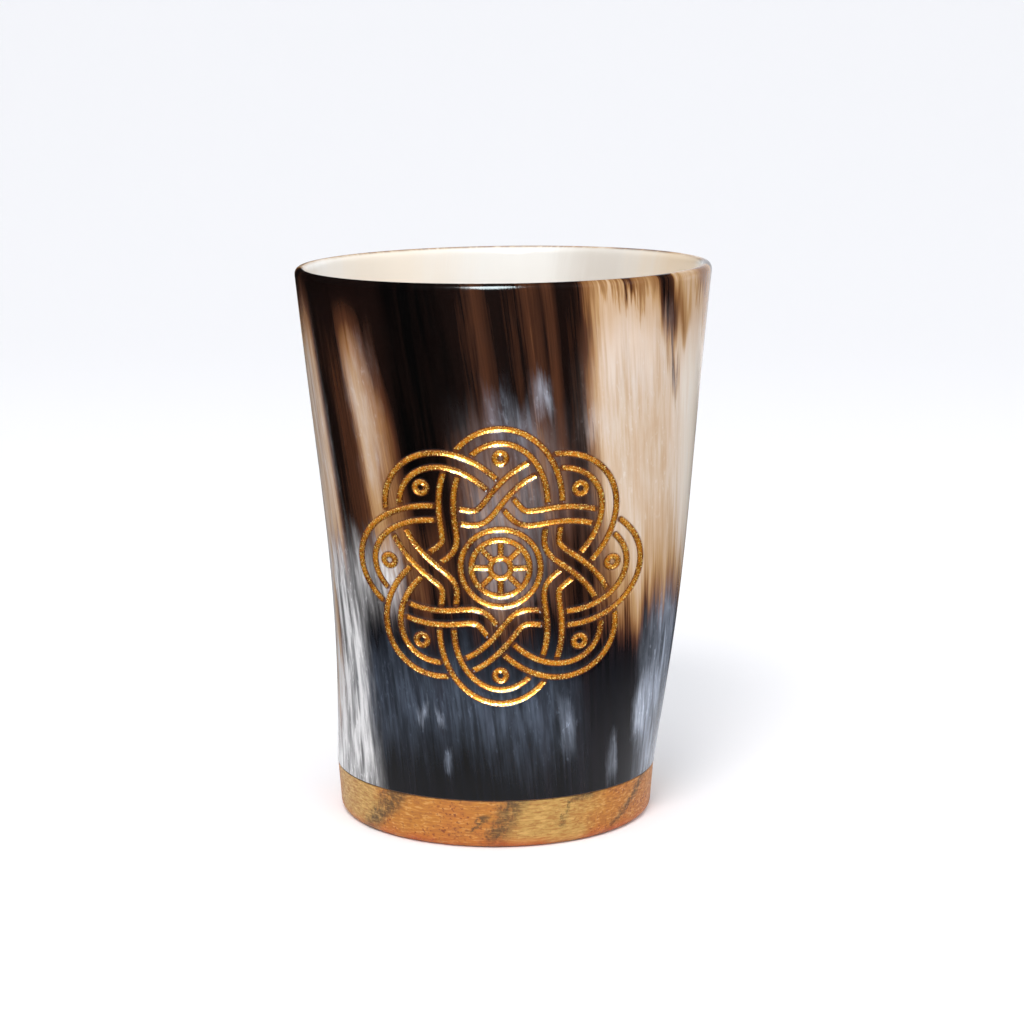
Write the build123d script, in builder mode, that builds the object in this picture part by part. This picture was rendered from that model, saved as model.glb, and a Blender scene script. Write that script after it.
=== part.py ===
from build123d import *
from math import cos, hypot, radians, sin
import os

# Horn drinking cup: a beaker cut from a length of horn, closed by a turned wooden base.
# The horn sleeve sits over the base's spigot and on its shoulder. A film of resin glue fills the
# joint, a resin bead seals the corner inside, and gilt lines fill an engraved knot on the front.
# Millimetres, +Z up. The origin is the middle of the foot's underside, and the knot faces -Y.

# Cup
CUP_HEIGHT = 107.5
RIM_RADIUS = 40.2
RIM_TILT = 0.77  # degrees, with the +X side of the rim the higher one
RIM_WALL = 2.4
LIP_FLAT = 0.4

# Horn: a cone that widens upwards, and leans so that its middle line gains on +X
JOINT_RADIUS = 31.4
JOINT_SHIFT = 0.4
RIM_SHIFT = 1.9

# Base and joint
FOOT_HEIGHT = 9.5
FOOT_TAPER = 0.8
FOOT_ROUND = 1.6
SOCKET_WALL = 2.4
SOCKET_DEPTH = 7.0
LEDGE_WIDTH = 1.8
SPIGOT_CHAMFER = 0.5
GLUE_GAP = 0.15
BEAD_SIZE = 1.8

# Engraved knot: one ribbon interlaced into a rosette, with a wheel at its hub and a ring in each lobe
KNOT_HEIGHT = 55.0
KNOT_RADIUS = 17.6
KNOT_SWING = 7.2
KNOT_LOBES = 8
RIBBON_WIDTH = 2.7
RIBBON_GAP = 0.7
LINE_WIDTH = 1.1
GROOVE_DEPTH = 0.45
GILT_RECESS = 0.15
HUB_STEP = 2.0
HUB_BARS = 8
BOSS_RADIUS = 1.9
LOBE_RING_RADIUS = 1.05

# A rosette of three turns passes over and under itself at fixed phases of each lobe
KNOT_TURNS = 3
OUTER_OVER = 60
INNER_OVER = 240
UNDER_PHASES = (-60, 120, 300)
PHASE_STEP = 30
BRIDGE_REACH = 60

# Joint, worked out from the values above
HORN_BOTTOM = FOOT_HEIGHT + GLUE_GAP
HORN_LENGTH = CUP_HEIGHT - HORN_BOTTOM
LEDGE_HEIGHT = HORN_BOTTOM + SOCKET_DEPTH
FLOOR_HEIGHT = LEDGE_HEIGHT - GLUE_GAP
FOOT_RADIUS = JOINT_RADIUS - FOOT_TAPER
SOCKET_RADIUS = JOINT_RADIUS - SOCKET_WALL
SPIGOT_RADIUS = SOCKET_RADIUS - GLUE_GAP
JOINT_WALL = SOCKET_WALL + LEDGE_WIDTH
LIP_ROUND = (RIM_WALL - LIP_FLAT) / 2
TRIM_LENGTH = 2 * RIM_RADIUS * sin(radians(RIM_TILT))  # left on for the slanting rim cut

# Knot, worked out from the values above
LOBE_TURN = 360 / KNOT_LOBES
RIBBON_SIDE = (RIBBON_WIDTH + LINE_WIDTH) / 2 + RIBBON_GAP
HUB_RADIUS = KNOT_RADIUS - KNOT_SWING - RIBBON_SIDE - LINE_WIDTH / 2
WHEEL_RADIUS = HUB_RADIUS - HUB_STEP
LOBE_RING_PLACE = KNOT_RADIUS + KNOT_SWING - RIBBON_SIDE - LOBE_RING_RADIUS - LINE_WIDTH / 2
KNOT_REACH = KNOT_RADIUS + KNOT_SWING + RIBBON_SIDE


def horn_share(height):
    """Share of the horn's length at a height: 0 at the joint and 1 at the rim."""
    return (height - HORN_BOTTOM) / HORN_LENGTH


def horn_centre(share):
    """How far the horn's middle line stands towards +X."""
    return JOINT_SHIFT + (RIM_SHIFT - JOINT_SHIFT) * share


def horn_form(joint_inset, rim_inset):
    """Cone along the horn, longer than it at both ends, with insets from its radii at joint and rim."""
    joint_radius = JOINT_RADIUS - joint_inset
    rim_radius = RIM_RADIUS - rim_inset
    spread = (rim_radius - joint_radius) * TRIM_LENGTH / HORN_LENGTH
    with BuildPart(horn_plane) as form:
        Cone(
            joint_radius - spread,
            rim_radius + spread,
            HORN_LENGTH + 2 * TRIM_LENGTH,
            align=(Align.CENTER, Align.CENTER, Align.MIN),
        )
    return form.part


def knot_point(phase, offset):
    """Point beside the ribbon's middle line, at a phase that gains 360 degrees from lobe to lobe."""
    swing = radians(phase)
    turn = swing * KNOT_TURNS / KNOT_LOBES
    reach = KNOT_RADIUS + KNOT_SWING * cos(swing)
    slope = -KNOT_SWING * sin(swing) * KNOT_LOBES / KNOT_TURNS
    along_x = slope * sin(turn) + reach * cos(turn)
    along_y = slope * cos(turn) - reach * sin(turn)
    scale = offset / hypot(along_x, along_y)
    return (reach * sin(turn) - scale * along_y, reach * cos(turn) + scale * along_x)


def ribbon_strip(first_phase, last_phase, offset, width):
    """Flat strip beside the ribbon's middle line, from one phase to another."""
    with BuildSketch() as strip:
        with BuildLine():
            for phase in (first_phase, last_phase):
                Line(knot_point(phase, offset - width / 2), knot_point(phase, offset + width / 2))
            for edge in (offset - width / 2, offset + width / 2):
                for phase in range(first_phase + PHASE_STEP, last_phase, 2 * PHASE_STEP):
                    ThreePointArc(*[knot_point(phase + step, edge) for step in (-PHASE_STEP, 0, PHASE_STEP)])
        make_face()
    return strip.sketch


def ribbon_bridge(phase):
    """Flat strip that clears what lies under the ribbon around a phase."""
    return ribbon_strip(phase - BRIDGE_REACH, phase + BRIDGE_REACH, 0, 2 * RIBBON_SIDE)


def line_ring(radius):
    """Flat ring of one engraved line."""
    with BuildSketch() as ring:
        Circle(radius + LINE_WIDTH / 2)
        Circle(radius - LINE_WIDTH / 2, mode=Mode.SUBTRACT)
    return ring.sketch


# Ribbon of the knot: both edge lines of one lobe, cut short where another lobe passes over them
with BuildSketch() as lobe_lines:
    for first_phase, last_phase in zip(UNDER_PHASES, UNDER_PHASES[1:]):
        for side in (-1, 1):
            add(ribbon_strip(first_phase, last_phase, side * RIBBON_WIDTH / 2, LINE_WIDTH))
    add(ribbon_bridge(OUTER_OVER), rotation=LOBE_TURN, mode=Mode.SUBTRACT)
    add(ribbon_bridge(OUTER_OVER), rotation=-2 * LOBE_TURN, mode=Mode.SUBTRACT)
    add(ribbon_bridge(INNER_OVER), rotation=LOBE_TURN, mode=Mode.SUBTRACT)
with BuildSketch() as ribbon_lines:
    with PolarLocations(0, KNOT_LOBES):
        add(lobe_lines.sketch)

# Hub of the knot: a ring, and inside it a wheel with bars and a boss
with BuildSketch() as hub_lines:
    for radius in (HUB_RADIUS, WHEEL_RADIUS, BOSS_RADIUS):
        add(line_ring(radius))
    with PolarLocations((WHEEL_RADIUS + BOSS_RADIUS) / 2, HUB_BARS):
        Rectangle(WHEEL_RADIUS - BOSS_RADIUS, LINE_WIDTH)

# Rings of the knot: one in the eye of each lobe
with BuildSketch() as ring_lines:
    with PolarLocations(LOBE_RING_PLACE, KNOT_LOBES, start_angle=90):
        add(line_ring(LOBE_RING_RADIUS))

# Horn's middle line, from below the joint
horn_lean = (RIM_SHIFT - JOINT_SHIFT) / HORN_LENGTH
horn_start = (JOINT_SHIFT - horn_lean * TRIM_LENGTH, 0, HORN_BOTTOM - TRIM_LENGTH)
horn_plane = Plane(horn_start, z_dir=(horn_lean, 0, 1))

# Engraving: what each set of lines takes out of the horn, joined outside it by a backing disc
knot_plane = Plane.XZ.shift_origin((horn_centre(horn_share(KNOT_HEIGHT)), 0, KNOT_HEIGHT))
groove_floor = horn_form(GROOVE_DEPTH, GROOVE_DEPTH)
engravings = {}
for name, lines in (("gilt_knot", ribbon_lines), ("gilt_hub", hub_lines), ("gilt_lobe_rings", ring_lines)):
    with BuildPart() as engraving:
        with BuildSketch(knot_plane):
            add(lines.sketch)
        extrude(amount=RIM_RADIUS)
        with BuildSketch(knot_plane.offset(RIM_RADIUS)):
            Circle(KNOT_REACH)
        extrude(amount=LINE_WIDTH)
        add(groove_floor, mode=Mode.SUBTRACT)
    engravings[name] = engraving.part

# Horn sleeve: hollow, with a round socket for the spigot, a slanting rim and the knot in its front
bore = horn_form(JOINT_WALL, RIM_WALL)
rim_plane = Plane((RIM_SHIFT, 0, CUP_HEIGHT)).rotated((0, -RIM_TILT, 0))
with BuildPart() as horn_sleeve:
    add(horn_form(0, 0))
    add(bore, mode=Mode.SUBTRACT)
    with BuildSketch(Plane.XY.offset(HORN_BOTTOM)):
        Circle(SOCKET_RADIUS)
    extrude(amount=SOCKET_DEPTH, mode=Mode.SUBTRACT)
    split(bisect_by=rim_plane, keep=Keep.BOTTOM)
    split(bisect_by=Plane.XY.offset(HORN_BOTTOM), keep=Keep.TOP)
    fillet(horn_sleeve.faces().sort_by(Axis.Z)[-1].edges(), LIP_ROUND)
    for cut in engravings.values():
        add(cut, mode=Mode.SUBTRACT)
horn_sleeve.part.label = "horn_sleeve"

# Base: a foot that carries on the horn's side, and a spigot that fills the socket
with BuildPart() as base_plug:
    with BuildSketch(Plane.XZ):
        with BuildLine():
            Polyline(
                (0, 0),
                (FOOT_RADIUS, 0),
                (JOINT_RADIUS, FOOT_HEIGHT),
                (SPIGOT_RADIUS, FOOT_HEIGHT),
                (SPIGOT_RADIUS, FLOOR_HEIGHT),
                (0, FLOOR_HEIGHT),
                close=True,
            )
        make_face()
    revolve(axis=Axis.Z)
    fillet(base_plug.faces().sort_by(Axis.Z)[0].edges(), FOOT_ROUND)
    chamfer(base_plug.faces().sort_by(Axis.Z)[-1].edges(), SPIGOT_CHAMFER)
base_plug.part.label = "base_plug"

# Glue film: all of the gap between the horn, the shoulder and the spigot
with BuildPart() as glue_film:
    with BuildSketch(Plane.XY.offset(FOOT_HEIGHT)):
        Circle(JOINT_RADIUS)
    extrude(amount=GLUE_GAP)
    with BuildSketch(Plane.XY.offset(FOOT_HEIGHT)):
        Circle(SOCKET_RADIUS)
    extrude(amount=LEDGE_HEIGHT - FOOT_HEIGHT)
    add(base_plug.part, mode=Mode.SUBTRACT)
    add(bore, mode=Mode.SUBTRACT)
glue_film.part.label = "glue_film"

# Sealing bead: a hollow-faced fillet of resin in the corner of floor and wall
floor_share = horn_share(FLOOR_HEIGHT)
floor_radius = JOINT_RADIUS - JOINT_WALL + (RIM_RADIUS - RIM_WALL - JOINT_RADIUS + JOINT_WALL) * floor_share
floor_middle = (horn_centre(floor_share), 0, FLOOR_HEIGHT)
with BuildPart() as sealing_bead:
    with BuildSketch(Plane.XZ.shift_origin(floor_middle)):
        with Locations((floor_radius, BEAD_SIZE / 2)):
            Rectangle(2 * BEAD_SIZE, BEAD_SIZE)
        with Locations((floor_radius - BEAD_SIZE, BEAD_SIZE)):
            Circle(BEAD_SIZE, mode=Mode.SUBTRACT)
    revolve(axis=Axis(floor_middle, (0, 0, 1)))
    add(bore, mode=Mode.INTERSECT)
sealing_bead.part.label = "sealing_bead"

pieces = [horn_sleeve, base_plug, glue_film, sealing_bead]

# Gilt: fills each set of engraved lines to a little under the horn's surface
gilt_face = horn_form(GILT_RECESS, GILT_RECESS)
for name, cut in engravings.items():
    with BuildPart() as gilt:
        add(cut)
        add(gilt_face, mode=Mode.INTERSECT)
    gilt.part.label = name
    pieces.append(gilt)

os.makedirs("parts", exist_ok=True)
for piece in pieces:
    export_step(piece.part, f"parts/{piece.part.label}.step")
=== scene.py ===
"""Horn drinking cup: streaked horn, a turned wooden base and a gilt knot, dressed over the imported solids.

Metres, +Z up, the knot faces -Y. Angles round the cup are counted from -Y towards +X.
"""

import bpy
import numpy as np
from bpy.props import FloatProperty, FloatVectorProperty, IntProperty, PointerProperty
from bpy.types import Operator, Panel, PropertyGroup
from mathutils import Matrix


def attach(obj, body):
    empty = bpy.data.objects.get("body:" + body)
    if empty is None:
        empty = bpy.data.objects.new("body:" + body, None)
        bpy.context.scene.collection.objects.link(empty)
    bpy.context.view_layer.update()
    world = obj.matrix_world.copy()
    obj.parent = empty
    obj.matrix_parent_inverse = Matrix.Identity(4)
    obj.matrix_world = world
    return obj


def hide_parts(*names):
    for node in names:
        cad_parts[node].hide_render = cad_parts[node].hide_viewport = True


bl_info = {
    "name": "Horn Drinking Cup",
    "version": (1, 0, 0),
    "blender": (4, 5, 0),
    "location": "View3D > Sidebar > Horn Cup",
    "description": "Builds a horn beaker with a wooden base and a gilt engraved knot",
    "category": "Add Mesh",
}

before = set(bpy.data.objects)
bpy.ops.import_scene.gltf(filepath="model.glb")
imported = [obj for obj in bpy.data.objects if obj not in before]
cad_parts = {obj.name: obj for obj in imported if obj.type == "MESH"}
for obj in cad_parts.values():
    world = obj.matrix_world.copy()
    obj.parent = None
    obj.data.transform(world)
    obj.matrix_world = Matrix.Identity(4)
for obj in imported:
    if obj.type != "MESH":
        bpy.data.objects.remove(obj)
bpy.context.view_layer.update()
MM = 0.001
SHARP_CORNER = np.radians(45)
SUBSTITUTIONS = 4  # enough for front_place to settle


def length(label, words, default):
    """Property of a length in metres."""
    return FloatProperty(name=label, description=words, default=default, unit="LENGTH", precision=5)


def number(label, words, default):
    """Property of a plain number."""
    return FloatProperty(name=label, description=words, default=default, precision=3)


def turn(label, words, degrees):
    """Property of an angle."""
    return FloatProperty(name=label, description=words, default=np.radians(degrees), subtype="ANGLE")


def linear(red, green, blue):
    """Scene-linear colour of an sRGB screen colour given from 0 to 255."""
    screen = np.array([red, green, blue]) / 255
    return tuple(np.where(screen <= 0.04045, screen / 12.92, ((screen + 0.055) / 1.055) ** 2.4))


def colour(label, words, red, green, blue):
    """Property of a colour, given as it looks on a screen."""
    return FloatVectorProperty(
        name=label, description=words, default=linear(red, green, blue), subtype="COLOR", min=0, max=1
    )


class HornShape(PropertyGroup):
    """Sizes of the horn sleeve."""

    bottom: length("Bottom", "Height of the horn's lower end", 0.00965)
    rim_height: length("Rim height", "Height of the rim's middle", 0.1075)
    rim_radius: length("Rim radius", "Outer radius at the rim", 0.0402)
    rim_tilt: turn("Rim tilt", "Slant of the rim, higher on the +X side", 0.77)
    rim_shift: length("Rim shift", "How far the rim's middle stands towards +X", 0.0015)
    rim_wall: length("Rim wall", "Wall at the rim", 0.0024)
    joint_radius: length("Joint radius", "Outer radius at the joint", 0.0315)
    joint_wall: length("Joint wall", "Wall at the joint", 0.0042)
    flare: number("Flare", "Power of the flare, where 1 is a straight cone", 1.12)
    bow: length("Bow", "How far the middle line bows towards +X", 0.00138)
    bow_skew: number("Bow skew", "Over 0, the bow is fullest below the middle", 0.54)
    ledge: length("Ledge", "Height of the ledge over the socket", 0.01665)
    socket_radius: length("Socket radius", "Radius of the socket", 0.029)


class KnotShape(PropertyGroup):
    """Sizes of the engraved knot."""

    height: length("Height", "Height of the knot's middle", 0.055)
    shift: length("Shift", "How far the knot's middle stands towards +X", 0.0011)
    radius: length("Radius", "Mean radius of the ribbon", 0.0176)
    swing: length("Swing", "How far the ribbon swings in and out", 0.0072)
    lobes: IntProperty(name="Lobes", description="Lobes of the rosette", default=8, min=4)
    ribbon: length("Ribbon", "Width between the ribbon's two lines", 0.0027)
    gap: length("Gap", "Space left beside a ribbon that passes over", 0.0007)
    line: length("Line", "Width of a gilt line", 0.001)
    depth: length("Depth", "Depth of the groove", 0.00052)
    shoulder: length("Shoulder", "Half width of the groove's worn shoulders", 0.00047)
    gilt_edge: length("Gilt edge", "Depth of the gilt at a line's edges", 0.00006)
    gilt_vee: length("Gilt vee", "Depth of the gilt's V, before its floor is rounded", 0.0003)
    gilt_film: length("Gilt film", "Thickness of the gilt", 0.0001)
    hub_step: length("Hub step", "Step from the hub's ring to its wheel", 0.002)
    hub_bars: IntProperty(name="Hub bars", description="Bars of the wheel", default=8, min=3)
    boss: length("Boss", "Radius of the wheel's boss", 0.0019)
    lobe_ring: length("Lobe ring", "Radius of the ring in each lobe", 0.00105)


class BaseShape(PropertyGroup):
    """Sizes of the wooden base, the glue film and the sealing bead."""

    foot_height: length("Foot height", "Height of the foot's band", 0.0095)
    foot_radius: length("Foot radius", "Radius at the foot's lower edge", 0.0308)
    shoulder_radius: length("Shoulder radius", "Radius at the shoulder", 0.0314)
    foot_round: length("Foot round", "Rounding of the foot's edge", 0.0016)
    spigot_radius: length("Spigot radius", "Radius of the spigot", 0.02885)
    spigot_chamfer: length("Spigot chamfer", "Chamfer of the spigot's edge", 0.0005)
    floor: length("Floor", "Height of the cup's floor", 0.0165)
    floor_radius: length("Floor radius", "Radius of the floor inside the horn", 0.02794)
    bead: length("Bead", "Size of the sealing bead", 0.0018)


class CupFinish(PropertyGroup):
    """Colours of the finishes."""

    # Painted reflection: a bluish tinge screened over the horn's lower end
    painted_blue_reflection: colour("Painted blue reflection", "Blue tinge of the horn's lower end", 22, 32, 48)
    # Whitish haze, and the painted sheen on the cup's left and right edges
    silver_haze_and_sheen: colour("Silver haze and sheen", "Whitish haze of scraped horn", 210, 208, 209)
    # Haze of the dark horn, whose blue is a painted reflection of the bluish surroundings
    blue_haze_and_reflection: colour("Blue haze and reflection", "Bluish haze of scraped dark horn", 178, 196, 226)
    # Painted shade in the engraved grooves, with some browning of the cut
    groove_shade_and_burn: colour("Groove shade and burn", "Browned edges of the engraved lines", 92, 50, 22)
    lining: colour("Lining", "Lacquered inside", 237, 235, 233)
    gold: colour("Gold", "Gold paint", 246, 166, 44)
    gold_deep: colour("Deep gold", "Gold paint between its grains", 212, 122, 18)
    # Painted shade towards a line's edges, also used for darker clouds in the gold
    gold_edge_shade_and_clouds: colour("Gold edge shade and clouds", "Gold paint at a line's edges", 128, 60, 14)
    # Painted glints: pale grains that stand in for the sparkle of the gold's flakes
    gold_glint: colour("Gold glint", "Bright grains in the gold", 255, 226, 132)
    gold_shade: colour("Gold shade", "Dark flecks in the gold", 66, 36, 14)
    wood: colour("Wood", "Oiled wood", 179, 115, 38)
    wood_warm: colour("Warm wood", "Redder clouds in the wood", 180, 106, 34)
    wood_pale: colour("Pale wood", "Paler fine-grained wood", 179, 139, 72)
    grain_dark: colour("Dark grain", "Dark dashes of grain", 150, 88, 36)
    grain_pale: colour("Pale grain", "Pale dashes of grain", 226, 178, 108)
    wood_pore: colour("Wood pore", "Dark pores", 116, 54, 18)
    wood_spalt: colour("Spalt", "Dark spalted patches", 66, 50, 24)
    wood_rust: colour("Rusty wood", "Reddish lower edge of the foot", 176, 84, 30)
    resin: colour("Resin", "Amber resin", 96, 62, 34)
    resin_deep: colour("Deep resin", "Darker clouds in the resin", 38, 22, 12)
    floor: colour("Floor", "Studio paper", 252, 249, 252)
    floor_fleck: colour("Floor fleck", "Faint flecks in the paper", 236, 240, 248)
    floor_dim: colour("Dim floor", "Paper where gloss sees it dark", 12, 12, 14)


class StudioLook(PropertyGroup):
    """Camera and light."""

    camera_place: FloatVectorProperty(
        name="Camera place",
        description="Place of the camera",
        default=(0.0032, -0.4918, 0.15292),
        subtype="XYZ",
    )
    camera_pitch: turn("Camera pitch", "Angle that the camera looks down", 10.84)
    camera_lens: number("Camera lens", "Focal length in millimetres", 89.82)
    window_power: number("Window power", "Watts of the main light", 7.0)
    fill_power: number("Fill power", "Watts of the weak light at the right", 1.3)
    glint_power: number("Glint power", "Watts of the light that only gloss sees", 36.0)
    tent: number("Tent", "Brightness of the white tent", 0.9)


def horn_radius(horn, share):
    """Outer radius: grows from joint to rim with a power of the share."""
    return horn.joint_radius + (horn.rim_radius - horn.joint_radius) * np.maximum(share, 0) ** horn.flare


def horn_centre(horn, share):
    """Middle line: a straight lean plus one skewed half wave of bow."""
    wave = np.pi * share
    return horn.rim_shift * share + horn.bow * np.sin(wave) * (1 + horn.bow_skew * np.cos(wave))


def horn_wall(horn, share):
    """Wall: thins evenly from joint to rim."""
    return horn.joint_wall + (horn.rim_wall - horn.joint_wall) * share


def horn_top(horn, angle):
    """Height of the rim's plane round the cup: a slanting cut gives one wave a turn."""
    return horn.rim_height + np.tan(horn.rim_tilt) * horn.rim_radius * np.sin(angle)


def horn_point(horn, angle, share, inset):
    """Point at an angle and a share of the height, taken in from the outer surface by an inset."""
    radius = horn_radius(horn, share) - inset
    height = horn.bottom + share * (horn_top(horn, angle) - horn.bottom)
    across = horn_centre(horn, share) + radius * np.sin(angle)
    return np.stack([across, -radius * np.cos(angle), height + 0 * across], axis=-1)


def front_place(horn, across, height):
    """Angle and share of the outer surface in front of a point of the XZ plane, by repeated substitution."""
    share = (height - horn.bottom) / (horn.rim_height - horn.bottom)
    for _ in range(SUBSTITUTIONS):
        reach = np.clip((across - horn_centre(horn, share)) / horn_radius(horn, share), -1, 1)
        angle = np.arcsin(reach)
        share = (height - horn.bottom) / (horn_top(horn, angle) - horn.bottom)
    return angle, share


# The ribbon runs three times round, and passes over and under itself at these phases of a lobe, in degrees
KNOT_TURNS = 3
OUTER_OVER, INNER_OVER = 60, 240
UNDER_PHASES = (-60, 120, 300)
BRIDGE_REACH = 60
# Points that measure a crossing: along the upper ribbon, and along a line that it covers
BRIDGE_STEPS, COVERED_STEPS = 241, 181
# Steps along a ribbon's line, a hub's ring, a bar and a lobe's ring, for measuring and for the gilt
MEASURE_STEPS = (60, 160, 12, 40)
GILT_STEPS = (44, 96, 10, 36)
GILT_COLUMNS = 9
MEASURE_BATCHES = 40
# A bar's ends stay off the middle of the rings that they meet by this share of a line's width
BAR_INSET = 0.4
# The gilt's V has its floor rounded by a share of half a line's width, which puts its edges this far out
VEE_ROUND, VEE_EDGE = 0.2, 1.02


def knot_point(knot, phase, offset):
    """Point beside the ribbon: a rosette whose radius swings once a lobe, offset square to its path."""
    swing = np.radians(phase)
    round_turn = swing * KNOT_TURNS / knot.lobes
    reach = knot.radius + knot.swing * np.cos(swing)
    slope = -knot.swing * np.sin(swing) * knot.lobes / KNOT_TURNS
    along_x = slope * np.sin(round_turn) + reach * np.cos(round_turn)
    along_y = slope * np.cos(round_turn) - reach * np.sin(round_turn)
    scale = offset / np.hypot(along_x, along_y)
    return np.stack(
        [reach * np.sin(round_turn) - scale * along_y, reach * np.cos(round_turn) + scale * along_x], axis=-1
    )


def spun(points, angle):
    """Flat points turned about the knot's middle."""
    cosine, sine = np.cos(angle), np.sin(angle)
    return points @ np.array([[cosine, sine], [-sine, cosine]])


def even_turns(count):
    """Angles that share a full turn evenly."""
    return 2 * np.pi * np.arange(count) / count


def clear_phase(knot, phases, offsets, over, lobes_round):
    """Phase at which each offset of a line comes clear of the ribbon that passes over it.

    The distance to the upper ribbon's middle line grows along the phases, and is read at its side.
    """
    side = (knot.ribbon + knot.line) / 2 + knot.gap
    bridge_phases = np.linspace(over - BRIDGE_REACH, over + BRIDGE_REACH, BRIDGE_STEPS)
    bridge = spun(knot_point(knot, bridge_phases, 0.0), lobes_round * 2 * np.pi / knot.lobes)
    points = knot_point(knot, phases[:, None], offsets[None, :])
    away = np.linalg.norm(points[:, :, None, :] - bridge, axis=-1).min(axis=2)
    away = np.maximum.accumulate(away, axis=0)
    return np.array([np.interp(side, away[:, column], phases) for column in range(len(offsets))])


def ribbon_lines(knot, steps, across):
    """Grids of all the ribbon's lines: each runs between two passes under, swung round for every lobe."""
    grids = []
    for first, last, start, end in (
        (*UNDER_PHASES[:2], (OUTER_OVER, 1), (INNER_OVER, 1)),
        (*UNDER_PHASES[1:], (INNER_OVER, 1), (OUTER_OVER, -2)),
    ):
        middle = (first + last) / 2
        for side in (-1, 1):
            offsets = side * knot.ribbon / 2 + across * knot.line / 2
            low = clear_phase(knot, np.linspace(first, middle, COVERED_STEPS), offsets, *start)
            high = clear_phase(knot, np.linspace(last, middle, COVERED_STEPS), offsets, *end)
            phases = low + (high - low) * np.linspace(0, 1, steps)[:, None]
            grid = knot_point(knot, phases, offsets + 0 * phases)
            grids += [spun(grid, angle) for angle in even_turns(knot.lobes)]
    return grids


def ring_line(knot, radius, middle, steps, across):
    """Grid of one round line: a circle whose radius varies across the line."""
    around = np.linspace(0, 2 * np.pi, steps, endpoint=False)[:, None]
    reach = radius + across * knot.line / 2
    return np.stack([middle[0] + reach * np.sin(around), middle[1] + reach * np.cos(around)], axis=-1)


def hub_sizes(knot):
    """Radii of the hub's ring and wheel, and the place of the lobes' rings, each a gap off the ribbon."""
    side = (knot.ribbon + knot.line) / 2 + knot.gap
    ring = knot.radius - knot.swing - side - knot.line / 2
    place = knot.radius + knot.swing - side - knot.lobe_ring - knot.line / 2
    return ring, ring - knot.hub_step, place


def bar_line(knot, angle, steps, across):
    """Grid of one straight bar of the wheel, from the boss to the wheel's ring."""
    _, wheel, _ = hub_sizes(knot)
    inset = knot.line * BAR_INSET
    along = np.linspace(knot.boss + inset, wheel - inset, steps)[:, None]
    side = across * knot.line / 2
    return spun(np.stack([side + 0 * along, along + 0 * side], axis=-1), angle)


def groove(knot, away):
    """Depth of the engraving at a distance from a line's middle: a bell curve, like a worn V."""
    return knot.depth * np.exp(-((away / knot.shoulder) ** 2))


def knot_lines(knot, steps, across):
    """Grids of the ribbon's lines, the hub's rings, the wheel's bars and the lobes' rings."""
    ribbon_steps, ring_steps, bar_steps, eye_steps = steps
    ring, wheel, place = hub_sizes(knot)
    rings = [ring_line(knot, radius, (0, 0), ring_steps, across) for radius in (ring, wheel, knot.boss)]
    bars = [bar_line(knot, angle, bar_steps, across) for angle in even_turns(knot.hub_bars)]
    middles = [spun(np.array([0, place]), angle) for angle in even_turns(knot.lobes)]
    eyes = [ring_line(knot, knot.lobe_ring, middle, eye_steps, across) for middle in middles]
    return ribbon_lines(knot, ribbon_steps, across), rings, bars, eyes


def engraving(knot, points, reach):
    """Depth of the engraving at points of the horn, by the distance to the nearest line as seen from -Y."""
    groups = knot_lines(knot, MEASURE_STEPS, np.zeros(1))
    middles = np.concatenate([line.reshape(-1, 2) for lines in groups for line in lines])
    flat = points[..., [0, 2]] - (knot.shift, knot.height)
    near = (points[..., 1] < 0) & (np.hypot(flat[..., 0], flat[..., 1]) < reach)
    away = [
        np.sqrt(((batch[:, None, :] - middles) ** 2).sum(axis=2).min(axis=1))
        for batch in np.array_split(flat[near], MEASURE_BATCHES)
    ]
    cut = np.zeros(near.shape)
    cut[near] = groove(knot, np.concatenate(away))
    return cut


def spaced(marks, steps):
    """Values that run through the marks, with so many even steps between each two."""
    spans = zip(marks, marks[1:], steps)
    return np.concatenate([np.linspace(low, high, count, endpoint=False) for low, high, count in spans])


def grid_quads(rows, columns, wrap_rows, wrap_columns):
    """Quads of a grid of points in row order, joined end to end where it wraps."""
    row = np.arange(rows if wrap_rows else rows - 1)[:, None]
    column = np.arange(columns if wrap_columns else columns - 1)[None, :]
    next_row, next_column = (row + 1) % rows, (column + 1) % columns
    corners = [row * columns + column, row * columns + next_column]
    corners += [next_row * columns + next_column, next_row * columns + column]
    return np.stack(corners, axis=-1).reshape(-1, 4)


def facing_out(points, quads):
    """The quads, turned round if they enclose a negative volume."""
    corner = points[quads]
    flow = np.cross(corner[:, 2] - corner[:, 0], corner[:, 3] - corner[:, 1])
    return quads[:, ::-1] if (corner.mean(axis=1) * flow).sum() < 0 else quads


def add_piece(name, points, quads, material, values=None):
    """Object at the origin from points and quads, smooth, with named values on its points."""
    mesh = bpy.data.meshes.new(name)
    mesh.from_pydata(points.tolist(), [], quads.tolist(), shade_flat=False)
    mesh.validate()
    mesh.set_sharp_from_angle(angle=SHARP_CORNER)
    for label, data in (values or {}).items():
        layer = mesh.attributes.new(label, "FLOAT", "POINT")
        layer.data.foreach_set("value", data.astype(np.float32))
    mesh.materials.append(material)
    piece = bpy.data.objects.new(name, mesh)
    bpy.context.scene.collection.objects.link(piece)
    return piece


def settle(piece, slot, *nodes):
    """Ties a piece to the frame: it rides on the cup's one body and stands for its nodes."""
    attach(piece, "root")
    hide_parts(*nodes)


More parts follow.
